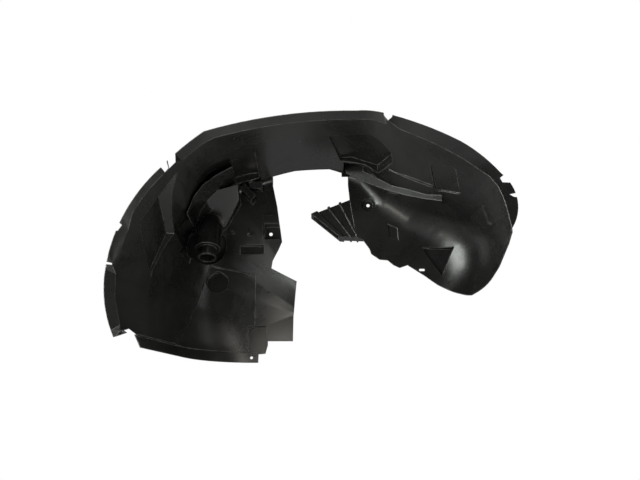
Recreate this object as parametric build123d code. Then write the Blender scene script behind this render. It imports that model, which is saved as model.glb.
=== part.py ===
from build123d import *
import os
from collections import namedtuple
from functools import cache, partial
from math import cos, radians, sin, sqrt, tan

# Front wheel arch liner, moulded in one piece. X runs to the rear of the car, Y inboard, Z up.
# The shape is drawn about the wheel axle and moved onto its datum hole at the end.
# The wall is what lies between two plugs: the room inside it and the same room grown by the wall.

# Wall and lip
WALL = 2.5
LIP_REACH = 30.0

# Outer edge of the lip, as arcs through points (X, Z) from the front foot, over the wheel, to the rear
LIP_ARCS = [
    ((-416, -87), (-436, -30), (-443, 40)),
    ((-443, 40), (-421, 150), (-335, 284)),
    ((-335, 284), (-291, 329), (-245, 367)),
    ((-245, 367), (-131, 396), (90, 416)),
    ((90, 416), (122, 416), (150, 411)),
    ((150, 411), (250, 377), (318, 344)),
    ((318, 344), (367, 307), (402, 270)),
    ((402, 270), (435, 198), (415, 140)),
]
REAR_RUN = ((402, 270), (434, 190), (415, 60))

# Cross-sections round the wheel: angle, how far the band falls towards the car's middle,
# depth, corner radius and lip width
Station = namedtuple("Station", "angle fall depth corner lip")
STATIONS = [
    Station(0, 12, 290, 150, 14),
    Station(12, 12, 290, 150, 15),
    Station(24, 25, 290, 135, 24),
    Station(35, 70, 290, 95, 22),
    Station(47, 98, 290, 65, 25),
    Station(60, 80, 290, 55, 22),
    Station(72, 45, 290, 30, 15),
    Station(85, 20, 290, 12, 16),
    Station(98, 18, 292, 12, 16),
    Station(110, 28, 298, 12, 16),
    Station(122, 35, 305, 15, 16),
    Station(134, 60, 315, 30, 16),
    Station(146, 100, 325, 70, 16),
    Station(160, 125, 330, 110, 16),
    Station(180, 137, 330, 150, 16),
]
STEPS = 3
FOOT_LEVELS = (-60, -130)
INNER_RADIUS = 20.0

# Front foot: a skirt set back from the wall
FOOT_LEVEL = -98.0
SKIRT_TOP = -72.0
SKIRT_SET = 12.0
SKIRT_FRONT = 5.0
SKIRT_OVERCUT = 10.0

# Strut opening and the lower edges of both walls, as corners (X, Z)
BAND_DEPTH = 283.0
OPENING_TOP = ((-108, 338), (80, 338))
OPENING = [
    (-108, 340), (-97, 287), (-84, 196), (-92, 177), (-107, 149), (-110, 131), (-47, 96), (-55, 15), (-56, -47),
    (-117, -47), (-124, -74), (-140, -76), (-143, -200), (520, -200), (520, 30),
    (375, 42), (358, 48), (330, 63), (296, 84), (267, 106), (224, 134), (205, 127), (190, 134), (176, 146),
    (156, 148), (136, 162), (131, 176), (117, 196), (100, 205), (84, 300), (80, 340),
]
OPENING_FRONT = 120.0
REAR_FROM = 200.0
REAR_END = ((-40, 160), (85, 97), (240, 40))

# Recessed front panel behind the wheel space: corners (X, Z)
PANEL_SET = 8.0
PANEL = [(-262, 140), (-335, -115), (-150, -115), (-150, 118)]

# Pocket high in the front half: outline (X, Z) and level of its back wall
POCKET = [
    (-326, 150), (-306, 212), (-290, 272), (-275, 298), (-255, 322), (-232, 338), (-197, 353), (-170, 362),
    (-142, 366), (-138, 300), (-240, 132), (-300, 128),
]
POCKET_BACK = 268.0
COLLAR = [(-299, 226), (-284, 268), (-265, 295), (-234, 320), (-197, 341)]
COLLAR_WALL = 3.0
COLLAR_FRONT = 152.0
WELL = (-275, 192, 52, 345)

# Kite panel beside the pocket: corners in its own sloping plane
KITE = Plane((-377, 82, 124), x_dir=(0.34, 0.61, 0.715), z_dir=(0.94, -0.237, -0.2455))
KITE_CORNERS = [(2, 66), (80, 95), (94, -20), (0, -64)]
KITE_DRAFT = 40.0
KITE_REACH = 40.0
KITE_DEPTH = 4.0


# Bay in the band over the wheel: plan corners (X, Y) under two sloping roofs
BAY = [(30, 95), (118, 74), (152, 86), (174, 108), (180, 140), (150, 215), (60, 222)]
BAY_FRONT_ROOF = Plane((118, 74, 404), z_dir=(-0.06, 0.085, 1))
BAY_REAR_ROOF = Plane((118, 74, 404), z_dir=(0.384, 0.182, 1))

# Notch in the inner edge of the band: X from and to, Y from, roof level
EDGE_NOTCH = (68, 116, 228, 284, 393)

# Pads pressed into the rear half of the band: angle, Y, turn, length, width, corner radius, depth
Pad = namedtuple("Pad", "angle y turn length width corner depth")
PADS = [Pad(44.5, 103, -30, 88, 58, 10, 4), Pad(28, 107, -55, 46, 22, 3, 3)]

# Rear wall: recess corners (X, Z) and the level in Y they are pressed to
WALL_WEDGE = [(261, 177), (337, 175), (307, 106)]
WALL_WEDGE_Y = 296.0
WALL_MARK = [(177, 239), (201, 228), (203, 196), (180, 206)]
WALL_MARK_Y = 293.0

# Datum fixing: a dimple with a bore, at X, Z, in the rear wall
DATUM_AT = (130, 288)
DIMPLE_RADIUS = 17.0
DIMPLE_DEPTH = 5.0
DIMPLE_DRAFT = 45.0
DATUM_BORE = 4.4
VENT_SLOT = (259, 122, 14, 6)

# Ledge and blade standing in from the band: ends (X, Y), level of the edge at start, middle and end
Rib = namedtuple("Rib", "start end levels")
LEDGE = Rib((76, 277), (297, 166), (366, 299, 258))
BLADE = Rib((174, 172), (273, 143), (336, 308, 283))
RIB_WALL = 3.0

# Front wall: bracket seat with its bore, slot, round recess and foot box, as X from, X to, Z from, Z to and Y
BRACKET_SEAT = (-128, -60, 203, 240, 322)
BRACKET_BORE_AT = (-113, 221)
BRACKET_BORE = 4.5
WALL_SLOT = (-189, -129, 168, 190, 324)
FOOT_BOX = (-167, -121, -73, -9, 356)
ROUND_RECESS = (-245, 100, 27, 346)

# Things standing in the pocket: corners (X, Z) and the planes of the front faces
FUNNEL = [(-292, 300), (-192, 324), (-189, 292), (-219, 241), (-231, 227), (-243, 237), (-282, 268)]
FUNNEL_FACES = [
    Plane((-230, 250, 305), x_dir=(1, 0, 0), z_dir=(0, 1, 0.575)),
    Plane((-264, 250, 288), z_dir=(2.36, 1.1, 1.92)),
]
CLIP = [(-187, 325), (-177, 336), (-149, 304), (-159, 291)]
CLIP_FACES = [Plane((-176, 262, 313), x_dir=(1, 0, 0), z_dir=(0, 1, 0))]
SHELF = [(-168, 345), (-135, 345), (-135, 326), (-166, 330)]
SHELF_FACES = [Plane((-150, 280, 335), x_dir=(1, 0, 0), z_dir=(0, 1, 0.2))]
BRACKET = [(-132, 240), (-93, 240), (-94, 262), (-132, 262)]
BRACKET_FACES = [Plane((-113, 290, 250), x_dir=(1, 0, 0), z_dir=(0, 1, 0))]
PINS = [(-208, 224), (-167, 218)]
PIN_RADIUS = 4.5
PIN_FRONT = 294.0
BRACKET_LEG = [(-132, 206), (-127, 206), (-127, 242), (-132, 242)]

# Bent spout in the well: where it starts, its heading below level, its runs and the bend between them
SPOUT_START = (-259, 350, 249)
SPOUT_DIP = 14.0
SPOUT_RUN = 75.0
SPOUT_BEND = 60.0
SPOUT_BEND_RADIUS = 42.0
SPOUT_DROP = 42.0
SPOUT_RADIUS = 30.0
SPOUT_MOUTH = 20.0
SPOUT_MOUTH_LENGTH = 26.0
SPOUT_RIM = 4.0

# Duct behind the rear wall: centre, long direction, length and depth of its mouth and of its end at the wall
Mouth = namedtuple("Mouth", "centre way length depth")
DUCT = [
    Mouth((24, 311, 235), (0.767, 0, -0.642), 88, 38),
    Mouth((104, 311, 254), (0.294, 0, -0.956), 104, 38),
]
DUCT_RINGS = [(0.0, 0.16, 3.0), (0.42, 0.47, 2.0), (0.7, 0.75, 2.0)]

# Cuts in the lip, as corners (X, Z)
LIP_CUTS = [
    [(-460, 77), (-428, 70), (-428, 66), (-460, 69)],
    [(-434, 152), (-418, 158), (-412, 153), (-420, 141), (-434, 138)],
    [(-350, 292), (-333, 281), (-326, 272), (-319, 281), (-324, 297), (-338, 305)],
    [(-317, 281), (-304, 295), (-306, 318), (-322, 312), (-321, 297)],
    [(150, 430), (151, 405), (160, 393), (169, 401), (171, 430)],
    [(425, 280), (399, 259), (404, 249), (430, 248)],
    [(450, 229), (417, 222), (427, 216), (450, 214)],
]
LIP_CUT_DEPTH = 12.0
TAIL_NOTCH = [(-415, -89), (-394, -63), (-376, -77), (-371, -98), (-371, -150), (-450, -150)]
TAIL_NOTCH_DEPTH = 78.0
FOOT_BORE_AT = (-157, -86)
FOOT_BORE = 3.5

# Reach of the tools that press into the walls
NEAR = 60.0
FAR = 600.0
ROOF_FROM = 320.0
BOSS_FROM = 200.0
RADIAL_FROM = 300.0


def lip_distance(start, direction):
    """Distance along a ray in the X, Z plane to the outer edge of the lip."""
    found = []
    for first, middle, last in LIP_ARCS[:-1] + [REAR_RUN]:
        arc = ThreePointArc(first, middle, last)
        centre = arc.arc_center
        to_centre = Vector(centre.X - start[0], centre.Y - start[1])
        along = to_centre.X * direction[0] + to_centre.Y * direction[1]
        spread = arc.radius**2 - to_centre.length**2 + along**2
        if spread < 0:
            continue
        reach = along + sqrt(spread)
        hit = (start[0] + reach * direction[0], start[1] + reach * direction[1])
        gap = arc.distance_to(Vector(*hit, 0))
        found.append((gap, reach))
    return min(found)[1]


def section(plane, rim, fall, depth, corner, grow):
    """One closed section of the wheel space, grown outwards by grow."""
    band = Vector(-fall, depth).normalized()
    inward = Vector(-band.Y, band.X)
    bend = Vector(rim - fall, depth)
    turn = radians(Vector(-1, 0).get_angle(band))
    back = corner * tan(turn / 2)
    start = bend - band * back
    end = bend - Vector(back, 0)
    centre = start + inward * corner
    crown = (bend - centre).normalized()
    middle = centre + crown * (corner + grow)
    start = start - inward * grow
    end = end + Vector(0, grow)
    front = grow - LIP_REACH if grow != WALL else WALL / 2
    inner = INNER_RADIUS + grow
    lip = start - band * ((start.Y - front) / band.Y)
    edges = [
        Line((inner, front), (lip.X, front)),
        Line((lip.X, front), (start.X, start.Y)),
        ThreePointArc((start.X, start.Y), (middle.X, middle.Y), (end.X, end.Y)),
        Line((end.X, end.Y), (inner, end.Y)),
        Line((inner, end.Y), (inner, front)),
    ]
    return plane * make_face(Wire(edges))


def stations():
    """The listed stations with even steps between them."""
    for first, last in zip(STATIONS, STATIONS[1:]):
        for step in range(STEPS):
            yield Station(*(a + (b - a) * step / STEPS for a, b in zip(first, last)))
    yield STATIONS[-1]


@cache
def wheel_space(grow):
    """The room the wheel turns in, lofted through the stations and down the front foot."""
    faces = []
    for station in stations():
        angle = station.angle or grow / 4 - 5
        way = (cos(radians(angle)), sin(radians(angle)))
        plane = Plane((0, 0, 0), x_dir=(way[0], 0, way[1]), z_dir=(-way[1], 0, way[0]))
        rim = lip_distance((0, 0), way) - station.lip
        faces.append(section(plane, rim, station.fall, station.depth, station.corner, grow))
    for level in (FOOT_LEVELS[0], FOOT_LEVELS[1] + grow):
        rim = lip_distance((0, level), (-1, 0)) - station.lip
        plane = Plane((0, 0, level), x_dir=(-1, 0, 0), z_dir=(0, 0, -1))
        faces.append(section(plane, rim, station.fall, station.depth, station.corner, grow))
    return loft(faces, ruled=True)


def grown(outline, grow):
    """Flat face of an outline, with its edge moved outwards by grow."""
    face = make_face((Curve() + outline).edges())
    return offset(face, amount=grow, kind=Kind.INTERSECTION) if grow else face


def along_y(outline, near, far, grow=0):
    """Prism on an X, Z outline, from Y near to Y far."""
    plane = Plane((0, near, 0), x_dir=(1, 0, 0), z_dir=(0, -1, 0))
    return extrude(plane * grown(outline, grow), amount=near - far)


def along_x(outline, near, far):
    """Prism on a Y, Z outline, from X near to X far."""
    plane = Plane((near, 0, 0), x_dir=(0, 1, 0), z_dir=(1, 0, 0))
    return extrude(plane * grown(outline, 0), amount=far - near)


def slab(low, high):
    """Everything between two levels."""
    return Pos(0, 0, (low + high) / 2) * Box(4 * FAR, 4 * FAR, high - low)


def ring(corners):
    return Polyline(*corners, close=True)


def lip_plate():
    """Flat plate behind the lip, filled inwards to the wheel space."""
    edges = [ThreePointArc(*arc) for arc in LIP_ARCS]
    rear = LIP_ARCS[-1][2]
    front = LIP_ARCS[0][0]
    edges.append(Line(rear, (rear[0] / 2, rear[1] / 2)))
    edges.append(ThreePointArc((rear[0] / 2, rear[1] / 2), (0, rear[0] / 2), (front[0] / 2, front[1] / 2)))
    edges.append(Line((front[0] / 2, front[1] / 2), front))
    return along_y(edges, 0, WALL)


def opening():
    """Strut opening and all below the edge of the walls."""
    lower = along_y(ring(OPENING), OPENING_FRONT, FAR)
    (left, bottom), (right, _) = OPENING_TOP
    top = ring([(left, bottom), (right, bottom), (right, FAR), (left, FAR)])
    return lower + along_y(top, BAND_DEPTH, FAR)


def rear_end():
    """All below the cut end behind the wheel."""
    edge = ThreePointArc(*REAR_END)
    rest = Polyline(REAR_END[2], (REAR_END[2][0], -FAR), (REAR_END[0][0], -FAR), REAR_END[0])
    return along_x([edge, rest], REAR_FROM, FAR)


def skirt(grow):
    bottom = FOOT_LEVEL if grow else FOOT_LEVEL - SKIRT_OVERCUT
    top = SKIRT_TOP + grow
    behind = along_y(ring([(-FAR, bottom), (FAR, bottom), (FAR, top), (-FAR, top)]), SKIRT_FRONT - grow, FAR)
    return wheel_space(SKIRT_SET + grow) & behind


def panel(grow):
    return wheel_space(PANEL_SET + grow) & along_y(ring(PANEL), NEAR, FAR, grow)


def pocket(grow):
    return along_y(ring(POCKET), NEAR, POCKET_BACK + grow, grow)


def well(grow):
    return round_room(*WELL, grow)


def collar():
    """Curved fin under the pocket's roof."""
    inner = [(x, z - COLLAR_WALL) for x, z in COLLAR]
    return along_y(ring(COLLAR + inner[::-1]), COLLAR_FRONT, POCKET_BACK + WALL / 2)


def kite(grow):
    body = extrude(KITE * grown(ring(KITE_CORNERS), grow), amount=KITE_REACH, taper=-KITE_DRAFT)
    return Pos(*(KITE.z_dir * -grow)) * body


def kite_panel(grow):
    body = extrude(KITE * grown(ring(KITE_CORNERS), grow), amount=2 * KITE_REACH, both=True)
    return wheel_space(KITE_DEPTH + grow) & body


def box_room(x_from, x_to, z_from, z_to, y_to, grow):
    """Rectangular recess pressed inboard to a level in Y."""
    corners = [(x_from, z_from), (x_to, z_from), (x_to, z_to), (x_from, z_to)]
    return along_y(ring(corners), OPENING_FRONT, y_to + grow, grow)


def bracket_seat(grow):
    return box_room(*BRACKET_SEAT, grow)


def wall_slot(grow):
    return box_room(*WALL_SLOT, grow)


def foot_box(grow):
    return box_room(*FOOT_BOX, grow)


def round_room(x, z, radius, level, grow):
    """Round recess pressed inboard to a level in Y."""
    return along_y(CenterArc((x, z), radius, 0, 360), NEAR, level + grow, grow)


def round_recess(grow):
    return round_room(*ROUND_RECESS, grow)


def wall_wedge(grow):
    return along_y(ring(WALL_WEDGE), OPENING_FRONT, WALL_WEDGE_Y + grow, grow)


def wall_mark(grow):
    return along_y(ring(WALL_MARK), OPENING_FRONT, WALL_MARK_Y + grow, grow)


def datum_plane(level):
    x, z = DATUM_AT
    return Plane((x, level, z), x_dir=(1, 0, 0), z_dir=(0, -1, 0))


def dimple(grow):
    plane = datum_plane(STATIONS[5].depth + DIMPLE_DEPTH + grow)
    return extrude(plane * Circle(DIMPLE_RADIUS - DIMPLE_DEPTH + grow), amount=NEAR, taper=-DIMPLE_DRAFT)


def under(plane, grow):
    """All below a sloping roof, raised by grow."""
    raised = Plane(plane.origin + plane.z_dir * grow, z_dir=plane.z_dir)
    return extrude(raised * Rectangle(2 * FAR, 2 * FAR), amount=-FAR / 4)


def bay(grow):
    body = extrude(Plane((0, 0, ROOF_FROM)) * grown(ring(BAY), grow), amount=FAR)
    return body & under(BAY_FRONT_ROOF, grow) & under(BAY_REAR_ROOF, grow)


def edge_notch(grow):
    x_from, x_to, y_from, y_to, roof = EDGE_NOTCH
    corners = [(x_from, ROOF_FROM), (x_to, ROOF_FROM), (x_to, roof), (x_from, roof)]
    return along_y(ring(corners), y_from - grow, y_to + grow, grow)


def pad(shape, grow):
    way = (cos(radians(shape.angle)), sin(radians(shape.angle)))
    origin = (way[0] * RADIAL_FROM, shape.y, way[1] * RADIAL_FROM)
    plane = Plane(origin, x_dir=(0, 1, 0), z_dir=(way[0], 0, way[1]))
    face = RectangleRounded(shape.length + 2 * grow, shape.width + 2 * grow, shape.corner + grow)
    return wheel_space(shape.depth + grow) & extrude(plane * Rot(0, 0, shape.turn) * face, amount=FAR)


def block(corners, faces, inset):
    """Hollow boss on an X, Z outline, cut off by its front faces."""
    body = along_y(ring(corners), BOSS_FROM, FAR, -inset)
    for face in faces:
        front = Plane(face.origin + face.z_dir * inset, z_dir=face.z_dir)
        body &= extrude(front * Rectangle(4 * FAR, 4 * FAR), amount=FAR)
    return body


def pin(place):
    return along_y(CenterArc(place, PIN_RADIUS, 0, 360), PIN_FRONT, FAR)


def rib(shape):
    """Upright rib from the band, with a bowed free edge."""
    start = Vector(*shape.start)
    end = Vector(*shape.end)
    run = (end - start).length
    plane = Plane((start.X, start.Y, 0), x_dir=end - start, z_dir=(end.Y - start.Y, start.X - end.X, 0))
    low = ThreePointArc((0, shape.levels[0]), (run / 2, shape.levels[1]), (run, shape.levels[2]))
    rest = Polyline((run, shape.levels[2]), (run, FAR), (0, FAR), (0, shape.levels[0]))
    return extrude(plane * make_face((Curve() + [low, rest]).edges()), amount=RIB_WALL)


def spout_place(run, turn):
    """Place on the spout's centre line, after a straight run and part of the bend."""
    dip = radians(SPOUT_DIP)
    side = Plane(SPOUT_START, x_dir=(0, -cos(dip), -sin(dip)), z_dir=(1, 0, 0))
    pivot = Pos(run, SPOUT_BEND_RADIUS)
    return side.location * pivot * Rot(0, 0, turn) * Pos(0, -SPOUT_BEND_RADIUS) * Rot(0, 90, 0)


def spout(inset):
    bar = Circle(SPOUT_RADIUS - inset)
    side = spout_place(SPOUT_RUN, 0)
    pivot = Axis((side * Pos(0, 0, 0)).position + SPOUT_BEND_RADIUS * Plane(side).y_dir, (1, 0, 0))
    body = spout_place(0, 0) * Pos(0, 0, -4 * inset) * extrude(bar, amount=SPOUT_RUN + 4 * inset)
    body += revolve(side * bar, axis=pivot, revolution_arc=SPOUT_BEND)
    end = spout_place(SPOUT_RUN, SPOUT_BEND)
    body += end * extrude(bar, amount=SPOUT_DROP - inset)
    body += end * extrude(Circle(SPOUT_MOUTH - inset), amount=SPOUT_DROP + SPOUT_MOUTH_LENGTH + inset)
    if not inset:
        rim = SPOUT_DROP + SPOUT_MOUTH_LENGTH - SPOUT_RIM
        body += end * Pos(0, 0, rim) * extrude(Circle(SPOUT_MOUTH + WALL), amount=SPOUT_RIM)
    return body


def duct_face(share, grow):
    """Section of the duct, a share of the way from the mouth to the wall."""
    mouth, end = DUCT
    centre = Vector(mouth.centre) + (Vector(end.centre) - Vector(mouth.centre)) * share
    way = Vector(mouth.way) + (Vector(end.way) - Vector(mouth.way)) * share
    length = mouth.length + (end.length - mouth.length) * share
    plane = Plane(centre, x_dir=way, z_dir=way.cross(Vector(0, 1, 0)))
    return plane * Rectangle(length + 2 * grow, mouth.depth + 2 * grow)


def duct():
    tube = loft([duct_face(0, 0), duct_face(1, 0)], ruled=True)
    for start, end, rise in DUCT_RINGS:
        tube += loft([duct_face(start, rise), duct_face(end, rise)], ruled=True)
    return tube - loft([duct_face(-0.1, -WALL), duct_face(1.1, -WALL)], ruled=True)


def bore(place, radius):
    """Round hole along Y through the wall at X, Z."""
    x, z = place
    return along_y(CenterArc((x, z), radius, 0, 360), OPENING_FRONT, FAR)


def vent_slot():
    x, z, length, width = VENT_SLOT
    plane = Plane((x, OPENING_FRONT, z), x_dir=(1, 0, 0), z_dir=(0, -1, 0))
    return extrude(plane * SlotOverall(length, width), amount=-FAR)


def build():
    rooms = [skirt, panel, pocket, well, kite, kite_panel, bay, edge_notch, dimple, wall_wedge, wall_mark]
    rooms += [bracket_seat, wall_slot, round_recess, foot_box]
    rooms += [partial(pad, shape) for shape in PADS]
    bosses = [partial(block, FUNNEL, FUNNEL_FACES), partial(block, CLIP, CLIP_FACES)]
    bosses += [partial(block, SHELF, SHELF_FACES), partial(block, BRACKET, BRACKET_FACES)]
    solid = [collar(), rib(LEDGE), rib(BLADE), along_y(ring(BRACKET_LEG), BRACKET_FACES[0].origin.Y, FAR)]
    solid += [pin(place) for place in PINS]
    cuts = [along_y(ring(corners), -WALL, LIP_CUT_DEPTH) for corners in LIP_CUTS]
    cuts += [along_y(ring(TAIL_NOTCH), -WALL, TAIL_NOTCH_DEPTH)]
    cuts += [bore(DATUM_AT, DATUM_BORE), bore(BRACKET_BORE_AT, BRACKET_BORE), bore(FOOT_BORE_AT, FOOT_BORE)]
    cuts += [vent_slot()]
    liner = wheel_space(WALL) + ([lip_plate()] + [room(WALL) for room in rooms])
    liner -= [opening(), rear_end(), slab(-FAR, FOOT_LEVEL)]
    liner -= wheel_space(0)
    liner -= [room(0) for room in rooms]
    inside = wheel_space(WALL / 2) + [room(WALL / 2) for room in rooms]
    liner += [inside & shape for shape in [boss(0) for boss in bosses] + solid] + [spout(0), duct()]
    liner -= [boss(WALL) for boss in bosses] + [spout(WALL)] + cuts
    x, z = DATUM_AT
    return Pos(-x, -(STATIONS[5].depth + DIMPLE_DEPTH), -z) * liner


os.makedirs("parts", exist_ok=True)
liner = build()
export_step(liner, "parts/wheel_arch_liner.step")
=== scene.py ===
"""Looks of a moulded front wheel arch liner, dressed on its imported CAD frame."""

import math
from collections import namedtuple

import bpy
from bpy.props import FloatProperty, FloatVectorProperty, PointerProperty
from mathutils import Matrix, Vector


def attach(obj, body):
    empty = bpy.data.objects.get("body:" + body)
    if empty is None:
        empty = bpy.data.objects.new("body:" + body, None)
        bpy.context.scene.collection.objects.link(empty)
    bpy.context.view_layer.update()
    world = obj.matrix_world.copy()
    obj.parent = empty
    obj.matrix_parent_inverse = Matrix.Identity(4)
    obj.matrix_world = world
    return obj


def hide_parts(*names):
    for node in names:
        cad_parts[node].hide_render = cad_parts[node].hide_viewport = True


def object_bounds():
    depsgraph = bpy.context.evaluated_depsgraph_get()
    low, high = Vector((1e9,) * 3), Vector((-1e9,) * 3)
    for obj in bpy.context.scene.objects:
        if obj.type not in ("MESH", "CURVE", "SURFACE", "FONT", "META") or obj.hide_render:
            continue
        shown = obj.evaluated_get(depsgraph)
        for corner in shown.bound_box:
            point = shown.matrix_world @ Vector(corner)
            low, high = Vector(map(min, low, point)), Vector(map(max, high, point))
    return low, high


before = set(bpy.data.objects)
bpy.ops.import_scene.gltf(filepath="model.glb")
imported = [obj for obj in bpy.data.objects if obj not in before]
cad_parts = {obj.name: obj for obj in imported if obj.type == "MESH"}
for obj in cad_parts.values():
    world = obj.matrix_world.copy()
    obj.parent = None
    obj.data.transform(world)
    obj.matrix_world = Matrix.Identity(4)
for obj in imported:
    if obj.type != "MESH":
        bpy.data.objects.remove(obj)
CAD_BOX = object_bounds()

bl_info = {
    "name": "Wheel Arch Liner",
    "version": (1, 0, 0),
    "blender": (4, 5, 0),
    "location": "3D View > Sidebar > Liner",
    "description": "Dresses a moulded wheel arch liner and sets it in a plain studio",
    "category": "Object",
}

LINER_NODE = "wheel_arch_liner"
PLASTIC_NAME = "black_plastic_moulded"

# Camera film
PHOTO_WIDTH = 640
SENSOR_MM = 36.0

# Lip: thickness, least reach of a band edge in rolls, and where the roll fades out before the rear tab
LIP_THICKNESS = 0.003
RIM_REACH = 4
REAR_TAB_FROM = 0.262
REAR_TAB_FADE = 0.04

# Corners of the plate behind the notch in the band's inner edge
NOTCH_BACK = ((-0.066, -0.012, 0.072), (-0.046, -0.0095, 0.106))

# Noise of each mark, and the range of its noise that becomes a mask from none to full
GRAIN_NOISE = {"Detail": 2.0, "Roughness": 0.6}
RIPPLE_NOISE = {"Detail": 1.5, "Roughness": 0.4}
HAZE_NOISE = {"Scale": 5.0, "Detail": 5.0, "Roughness": 0.62, "Distortion": 0.6}
HAZE_RANGE = (0.42, 0.72)
SCUFF_TURN = (0.5, 0.9, 0.3)
SCUFF_STRETCH = (9.0, 150.0, 60.0)
SCUFF_NOISE = {"Scale": 1.0, "Detail": 3.0}
SCUFF_RANGE = (0.62, 0.74)
CHIP_NOISE = {"Scale": 70.0, "Detail": 3.0}
CHIP_RANGE = (0.3, 0.55)
# Range of the bevel match that becomes the edge mask for rubbed wear and a painted edge highlight
EDGE_WEAR_AND_HIGHLIGHT_RANGE = (0.985, 0.8)
BEVEL_SAMPLES = 4

# Gloss of clean and of hazed plastic, what a scuff adds, and the floor's
PLASTIC_ROUGHNESS = (0.25, 0.36)
SCUFF_ROUGHNESS = 0.05
PLASTIC_SPECULAR = 0.5
PLASTIC_IOR = 1.49
FLOOR_ROUGHNESS = 0.9

WHITE = (1.0, 1.0, 1.0)
COOL = (0.95, 1.0, 0.95)
WARM = (1.0, 0.94, 0.86)
POCKET_AT = (-0.38, -0.05, -0.05)

# Lamps: azimuth to the right of the camera and elevation in degrees, distance, width and height in metres,
# colour, and the target where it isn't the camera's aim
Lamp = namedtuple("Lamp", "name azimuth elevation distance width height colour target")
LAMPS = (
    Lamp("key", -66, 3, 1.8, 1.8, 0.8, COOL, None),
    Lamp("top", -12, 58, 1.8, 1.0, 0.8, WHITE, None),
    Lamp("side", 58, 10, 1.8, 0.5, 0.7, WHITE, None),
    Lamp("pocket", 27, -37, 0.43, 0.14, 0.14, WARM, POCKET_AT),
)


class LinerMesh(bpy.types.PropertyGroup):
    """How the moulding's mesh is cleaned and smoothed."""

    merge_gap: FloatProperty(
        name="Merge gap",
        description="Corners closer than this become one",
        default=0.00002,
        unit="LENGTH",
        precision=6,
    )
    crease_angle: FloatProperty(
        name="Crease angle",
        description="Faces that meet at less than this are shaded as one curve",
        default=math.radians(26),
        subtype="ANGLE",
    )
    lip_roll: FloatProperty(
        name="Lip roll",
        description="How far the lip's inner rim is rolled back",
        default=0.012,
        unit="LENGTH",
    )


class PlasticFinish(bpy.types.PropertyGroup):
    """Colour and surface of the black moulding."""

    base_colour: FloatVectorProperty(
        name="Plastic",
        description="Colour of clean black polypropylene",
        default=(0.008, 0.008, 0.0076),
        subtype="COLOR",
        size=3,
    )
    bloom_colour: FloatVectorProperty(
        name="Bloom",
        description="Pale haze where the plastic has flowed or been handled",
        default=(0.02, 0.02, 0.0185),
        subtype="COLOR",
        size=3,
    )
    # Pale colour laid on edges: partly rubbed wear, partly a painted highlight along the edges
    worn_and_highlight_colour: FloatVectorProperty(
        name="Worn edge and painted highlight",
        description="Colour of rubbed edges",
        default=(0.2, 0.197, 0.185),
        subtype="COLOR",
        size=3,
    )
    grain_size: FloatProperty(
        name="Grain size",
        description="Width of one grain of the mould's texture",
        default=0.0016,
        unit="LENGTH",
    )
    grain_depth: FloatProperty(
        name="Grain depth",
        description="Height of the grain",
        default=0.00003,
        unit="LENGTH",
        precision=6,
    )
    ripple_size: FloatProperty(
        name="Ripple size",
        description="Width of the slow waves left by shrinkage",
        default=0.07,
        unit="LENGTH",
    )
    ripple_depth: FloatProperty(
        name="Ripple depth",
        description="Height of the slow waves",
        default=0.0006,
        unit="LENGTH",
        precision=5,
    )
    # Width of the band of rubbed wear and painted edge highlight, and radius of the rounded edge normals
    edge_width: FloatProperty(
        name="Edge width",
        description="How far rubbing reaches in from an edge",
        default=0.0026,
        unit="LENGTH",
        precision=4,
    )


class StudioSettings(bpy.types.PropertyGroup):
    """Camera, lamps and floor."""

    aim: FloatVectorProperty(
        name="Aim",
        description="Point the camera looks at",
        default=(-0.120, -0.145, -0.128),
        subtype="TRANSLATION",
        unit="LENGTH",
        size=3,
    )
    distance: FloatProperty(
        name="Distance", description="From the aim to the camera", default=2.0, unit="LENGTH"
    )
    elevation: FloatProperty(
        name="Elevation",
        description="Height of the camera over the aim, below it when negative",
        default=math.radians(-15),
        subtype="ANGLE",
    )
    focal_pixels: FloatProperty(
        name="Focal length", description="Focal length in pixels of the image", default=870.0
    )
    floor_gap: FloatProperty(
        name="Floor gap", description="From the liner's foot down to the floor", default=0.02, unit="LENGTH"
    )
    floor_size: FloatProperty(name="Floor size", description="Side of the floor", default=9.0, unit="LENGTH")
    floor_colour: FloatVectorProperty(
        name="Floor", description="Colour of the floor", default=(0.8, 0.8, 0.8), subtype="COLOR", size=3
    )
    key_power: FloatProperty(
        name="Key", description="Power of the low lamp on the left", default=64.0, unit="POWER"
    )
    pocket_power: FloatProperty(
        name="Pocket", description="Power of the small lamp under the pocket", default=0.4, unit="POWER"
    )
    top_power: FloatProperty(name="Top", description="Power of the lamp above", default=10.0, unit="POWER")
    side_power: FloatProperty(
        name="Side", description="Power of the lamp on the right", default=1.5, unit="POWER"
    )
    sky_strength: FloatProperty(name="Sky", description="Level of the even light", default=0.1)


def deselect_all():
    """Leaves object mode with nothing selected."""
    if bpy.context.object and bpy.context.object.mode != "OBJECT":
        bpy.ops.object.mode_set(mode="OBJECT")
    bpy.ops.object.select_all(action="DESELECT")


def pick(item):
    """Makes one object the only one selected."""
    deselect_all()
    item.select_set(True)
    bpy.context.view_layer.objects.active = item


def roll_lip(moulding, front, thickness, roll):
    """Leans the lip's strip by sliding its inner rim back along the band."""
    points = moulding.data.vertices
    slides = {}
    for edge in moulding.data.edges:
        near, far = sorted(edge.vertices, key=lambda index: points[index].co.y)
        run = points[far].co - points[near].co
        if points[near].co.y > front + thickness or run.y < RIM_REACH * roll:
            continue
        steepness = run.y / run.length
        if near not in slides or steepness > slides[near][0]:
            slides[near] = (steepness, run * (roll / run.y))
    for index, (_, step) in slides.items():
        share = (REAR_TAB_FROM - points[index].co.x) / REAR_TAB_FADE
        points[index].co += step * min(1.0, max(0.0, share))


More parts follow.
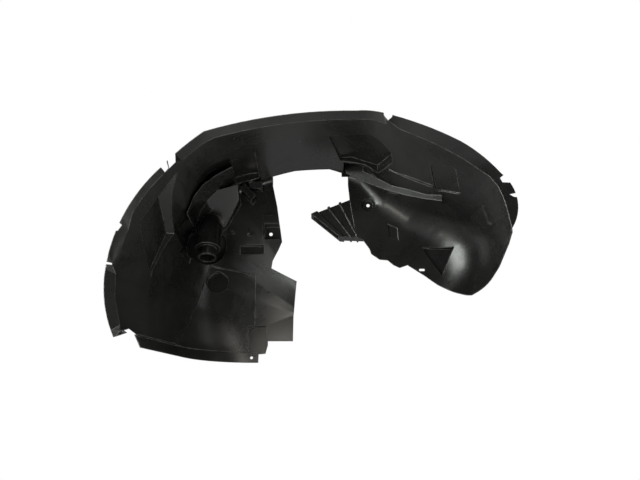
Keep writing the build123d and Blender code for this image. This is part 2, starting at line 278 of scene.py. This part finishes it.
def group_tree(name, inputs, outputs):
    """New shader group whose sockets are all plain values."""
    tree = bpy.data.node_groups.new(name, "ShaderNodeTree")
    for label in inputs:
        tree.interface.new_socket(label, in_out="INPUT", socket_type="NodeSocketFloat")
    for label in outputs:
        tree.interface.new_socket(label, in_out="OUTPUT", socket_type="NodeSocketFloat")
    return tree, tree.nodes.new("NodeGroupInput"), tree.nodes.new("NodeGroupOutput")


def node(tree, kind, links=None, **values):
    """Adds a node, sets its settings and joins its inputs."""
    made = tree.nodes.new(kind)
    for key, value in values.items():
        setattr(made, key, value)
    for socket, source in (links or {}).items():
        if isinstance(source, bpy.types.NodeSocket):
            tree.links.new(source, made.inputs[socket])
        else:
            made.inputs[socket].default_value = source
    return made


def math_node(tree, operation, *values):
    """Joins numbers or sockets by one operation and returns the result."""
    return node(tree, "ShaderNodeMath", dict(enumerate(values)), operation=operation).outputs[0]


def noise(tree, place, settings):
    """Noise over a place, as a value."""
    return node(tree, "ShaderNodeTexNoise", {"Vector": place, **settings}).outputs["Fac"]


def mask(tree, value, span):
    """Turns a span of a value into a mask from none to full."""
    low, high = span
    return node(tree, "ShaderNodeMapRange", {"Value": value, "From Min": low, "From Max": high}).outputs[0]


def mix_colour(tree, share, under, over):
    """Lays one colour over another through a mask and returns the mixed socket."""
    mix = tree.nodes.new("ShaderNodeMix")
    mix.data_type = "RGBA"
    tree.links.new(share, mix.inputs["Factor"])
    for socket, value in ((mix.inputs[6], under), (mix.inputs[7], over)):
        if isinstance(value, bpy.types.NodeSocket):
            tree.links.new(value, socket)
        else:
            socket.default_value = (*value, 1.0)
    return mix.outputs[2]


def mould_surface_group():
    """Grain of the tool and slow shrinkage waves, as one height."""
    inputs = ("Grain size", "Grain depth", "Ripple size", "Ripple depth")
    tree, given, out = group_tree("mould_surface", inputs, ("Height",))
    place = node(tree, "ShaderNodeTexCoord").outputs["Object"]
    grain_scale = math_node(tree, "DIVIDE", 1.0, given.outputs["Grain size"])
    ripple_scale = math_node(tree, "DIVIDE", 1.0, given.outputs["Ripple size"])
    grain = noise(tree, place, {"Scale": grain_scale, **GRAIN_NOISE})
    ripple = noise(tree, place, {"Scale": ripple_scale, **RIPPLE_NOISE})
    grain_height = math_node(tree, "MULTIPLY", grain, given.outputs["Grain depth"])
    height = math_node(tree, "MULTIPLY_ADD", ripple, given.outputs["Ripple depth"], grain_height)
    tree.links.new(height, out.inputs["Height"])
    return tree


def handling_and_edge_highlight_group():
    """Masks of haze, fine scuffs, and a pale edge colour that is rubbed wear and a painted edge highlight."""
    tree, given, out = group_tree("handling", ("Edge width",), ("Haze", "Scuffs", "Edges"))
    place = node(tree, "ShaderNodeTexCoord").outputs["Object"]
    haze = mask(tree, noise(tree, place, HAZE_NOISE), HAZE_RANGE)
    stretched = node(
        tree, "ShaderNodeMapping", {"Vector": place, "Rotation": SCUFF_TURN, "Scale": SCUFF_STRETCH}
    ).outputs[0]
    scuffs = mask(tree, noise(tree, stretched, SCUFF_NOISE), SCUFF_RANGE)
    # Edge mask from the bevelled normal, broken up by chips: rubbed wear and a painted edge highlight
    rounded = node(
        tree, "ShaderNodeBevel", {"Radius": given.outputs["Edge width"]}, samples=BEVEL_SAMPLES
    ).outputs[0]
    flat = node(tree, "ShaderNodeNewGeometry").outputs["Normal"]
    match = node(tree, "ShaderNodeVectorMath", {0: rounded, 1: flat}, operation="DOT_PRODUCT")
    edge = mask(tree, match.outputs["Value"], EDGE_WEAR_AND_HIGHLIGHT_RANGE)
    chips = mask(tree, noise(tree, place, CHIP_NOISE), CHIP_RANGE)
    edges = math_node(tree, "MULTIPLY", edge, chips)
    for label, value in (("Haze", haze), ("Scuffs", scuffs), ("Edges", edges)):
        tree.links.new(value, out.inputs[label])
    return tree


def black_plastic(finish):
    """Satin black moulded polypropylene, hazed, scuffed, and pale at its edges as rubbed wear and a painted
    edge highlight.
    """
    material = bpy.data.materials.new(PLASTIC_NAME)
    material.use_nodes = True
    tree = material.node_tree
    shader = tree.nodes["Principled BSDF"]
    marks_and_edge_highlight = node(tree, "ShaderNodeGroup", node_tree=handling_and_edge_highlight_group())
    marks_and_edge_highlight.inputs["Edge width"].default_value = finish.edge_width
    surface = node(tree, "ShaderNodeGroup", node_tree=mould_surface_group())
    for label, value in (
        ("Grain size", finish.grain_size),
        ("Grain depth", finish.grain_depth),
        ("Ripple size", finish.ripple_size),
        ("Ripple depth", finish.ripple_depth),
    ):
        surface.inputs[label].default_value = value
    haze = marks_and_edge_highlight.outputs["Haze"]
    hazed = mix_colour(tree, haze, finish.base_colour, finish.bloom_colour)
    # Pale edge colour over the hazed plastic: rubbed wear and a painted edge highlight
    worn_and_highlighted = mix_colour(tree, marks_and_edge_highlight.outputs["Edges"], hazed, finish.worn_and_highlight_colour)
    clean, dull = PLASTIC_ROUGHNESS
    rough = node(tree, "ShaderNodeMapRange", {"Value": haze, "To Min": clean, "To Max": dull})
    scuffed = math_node(tree, "MULTIPLY_ADD", marks_and_edge_highlight.outputs["Scuffs"], SCUFF_ROUGHNESS, rough.outputs[0])
    rounded = node(tree, "ShaderNodeBevel", {"Radius": finish.edge_width}, samples=BEVEL_SAMPLES)
    bump = node(
        tree,
        "ShaderNodeBump",
        {"Height": surface.outputs["Height"], "Strength": 1.0, "Distance": 1.0, "Normal": rounded.outputs[0]},
    )
    tree.links.new(worn_and_highlighted, shader.inputs["Base Color"])
    tree.links.new(scuffed, shader.inputs["Roughness"])
    tree.links.new(bump.outputs[0], shader.inputs["Normal"])
    shader.inputs["Specular IOR Level"].default_value = PLASTIC_SPECULAR
    shader.inputs["IOR"].default_value = PLASTIC_IOR
    return material


def floor_paint(colour):
    """Pale matt floor, seen from above only, so that a low camera looks past it."""
    material = bpy.data.materials.new("studio_floor")
    material.use_nodes = True
    tree = material.node_tree
    shader = tree.nodes["Principled BSDF"]
    shader.inputs["Base Color"].default_value = (*colour, 1.0)
    shader.inputs["Roughness"].default_value = FLOOR_ROUGHNESS
    clear = node(tree, "ShaderNodeBsdfTransparent").outputs[0]
    below = node(tree, "ShaderNodeNewGeometry").outputs["Backfacing"]
    mixed = node(tree, "ShaderNodeMixShader", {0: below, 1: shader.outputs[0], 2: clear})
    tree.links.new(mixed.outputs[0], tree.nodes["Material Output"].inputs["Surface"])
    return material


def white_world(strength):
    """Even light on the object, and plain white where the camera sees past it."""
    world = bpy.data.worlds.new("studio_world")
    world.use_nodes = True
    tree = world.node_tree
    soft = tree.nodes["Background"]
    soft.inputs["Color"].default_value = (*WHITE, 1.0)
    soft.inputs["Strength"].default_value = strength
    white = node(tree, "ShaderNodeBackground", {"Color": (*WHITE, 1.0), "Strength": 1.0})
    ray = node(tree, "ShaderNodeLightPath")
    seen = math_node(tree, "MAXIMUM", ray.outputs["Is Camera Ray"], ray.outputs["Is Transmission Ray"])
    mixed = node(tree, "ShaderNodeMixShader", {0: seen, 1: soft.outputs[0], 2: white.outputs[0]})
    tree.links.new(mixed.outputs[0], tree.nodes["World Output"].inputs["Surface"])
    bpy.context.scene.world = world


def area_lamp(lamp, target, power):
    """Soft lamp turned to its target, hidden from the camera itself."""
    azimuth = math.radians(lamp.azimuth)
    elevation = math.radians(lamp.elevation)
    level = math.cos(elevation)
    away = Vector((math.sin(azimuth) * level, -math.cos(azimuth) * level, math.sin(elevation)))
    turn = (-away).to_track_quat("-Z", "Y").to_euler()
    deselect_all()
    bpy.ops.object.light_add(type="AREA", location=target + away * lamp.distance, rotation=turn)
    light = bpy.context.object
    light.name = f"{lamp.name}_lamp"
    light.visible_camera = False
    light.data.shape = "RECTANGLE"
    light.data.size = lamp.width
    light.data.size_y = lamp.height
    light.data.energy = power
    light.data.color = lamp.colour


class LINER_OT_moulding(bpy.types.Operator):
    """Makes the moulding from its CAD node and gives it its plastic"""

    bl_idname = "liner.moulding"
    bl_label = "Moulding"

    def execute(self, context):
        settings = context.scene.liner_mesh
        pick(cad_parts[LINER_NODE])
        bpy.ops.object.duplicate()
        moulding = context.object
        moulding.name = "liner_moulding"
        moulding.data.name = "liner_moulding"
        pick(moulding)
        bpy.ops.mesh.customdata_custom_splitnormals_clear()
        bpy.ops.object.mode_set(mode="EDIT")
        bpy.ops.mesh.select_all(action="SELECT")
        bpy.ops.mesh.remove_doubles(threshold=settings.merge_gap)
        bpy.ops.mesh.select_all(action="DESELECT")
        bpy.ops.object.mode_set(mode="OBJECT")
        roll_lip(moulding, CAD_BOX[0][1], LIP_THICKNESS, settings.lip_roll)
        bpy.ops.object.shade_smooth_by_angle(angle=settings.crease_angle)
        moulding.data.materials.clear()
        moulding.data.materials.append(black_plastic(context.scene.liner_finish))
        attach(moulding, "root")
        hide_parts(LINER_NODE)
        return {"FINISHED"}


class LINER_OT_notch(bpy.types.Operator):
    """Closes the back of the notch in the band's inner edge"""

    bl_idname = "liner.notch"
    bl_label = "Notch back"

    def execute(self, context):
        low, high = (Vector(corner) for corner in NOTCH_BACK)
        deselect_all()
        bpy.ops.mesh.primitive_cube_add(size=1.0, location=(low + high) / 2, scale=high - low)
        plate = context.object
        plate.name = "notch_back"
        plate.data.name = "notch_back"
        bpy.ops.object.transform_apply(location=True, rotation=True, scale=True)
        plate.data.materials.append(bpy.data.materials[PLASTIC_NAME])
        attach(plate, "root")
        return {"FINISHED"}


class LINER_OT_studio(bpy.types.Operator):
    """Sets the floor, the lamps, the white surround and the camera"""

    bl_idname = "liner.studio"
    bl_label = "Studio"

    def execute(self, context):
        studio = context.scene.liner_studio
        aim = Vector(studio.aim)
        level = CAD_BOX[0][2] - studio.floor_gap
        deselect_all()
        bpy.ops.mesh.primitive_plane_add(size=studio.floor_size, location=(aim.x, aim.y, level))
        floor = context.object
        floor.name = "studio_floor"
        floor.data.materials.append(floor_paint(studio.floor_colour))
        bpy.ops.object.transform_apply(location=True)
        for lamp in LAMPS:
            target = Vector(lamp.target) if lamp.target else aim
            area_lamp(lamp, target, getattr(studio, f"{lamp.name}_power"))
        white_world(studio.sky_strength)
        away = Vector((0.0, -math.cos(studio.elevation), math.sin(studio.elevation)))
        place = aim + away * studio.distance
        deselect_all()
        bpy.ops.object.camera_add(location=place, rotation=(-away).to_track_quat("-Z", "Y").to_euler())
        camera = context.object
        camera.name = "photo_camera"
        camera.data.sensor_width = SENSOR_MM
        camera.data.lens = studio.focal_pixels / PHOTO_WIDTH * SENSOR_MM
        context.scene.camera = camera
        context.scene.view_settings.view_transform = "Standard"
        return {"FINISHED"}


class LINER_PT_sidebar(bpy.types.Panel):
    """Lists the steps and their settings"""

    bl_idname = "LINER_PT_sidebar"
    bl_label = "Wheel Arch Liner"
    bl_space_type = "VIEW_3D"
    bl_region_type = "UI"
    bl_category = "Liner"

    def draw(self, context):
        scene = context.scene
        for settings in (scene.liner_mesh, scene.liner_finish, scene.liner_studio):
            for name in settings.__annotations__:
                self.layout.prop(settings, name)
        for step in (LINER_OT_moulding, LINER_OT_notch, LINER_OT_studio):
            self.layout.operator(step.bl_idname)


CLASSES = (
    LinerMesh,
    PlasticFinish,
    StudioSettings,
    LINER_OT_moulding,
    LINER_OT_notch,
    LINER_OT_studio,
    LINER_PT_sidebar,
)


def register():
    for item in CLASSES:
        bpy.utils.register_class(item)
    bpy.types.Scene.liner_mesh = PointerProperty(type=LinerMesh)
    bpy.types.Scene.liner_finish = PointerProperty(type=PlasticFinish)
    bpy.types.Scene.liner_studio = PointerProperty(type=StudioSettings)


def unregister():
    del bpy.types.Scene.liner_studio
    del bpy.types.Scene.liner_finish
    del bpy.types.Scene.liner_mesh
    for item in reversed(CLASSES):
        bpy.utils.unregister_class(item)


def main():
    register()
    bpy.ops.liner.moulding()
    bpy.ops.liner.notch()
    bpy.ops.liner.studio()


if __name__ == "__main__":
    main()
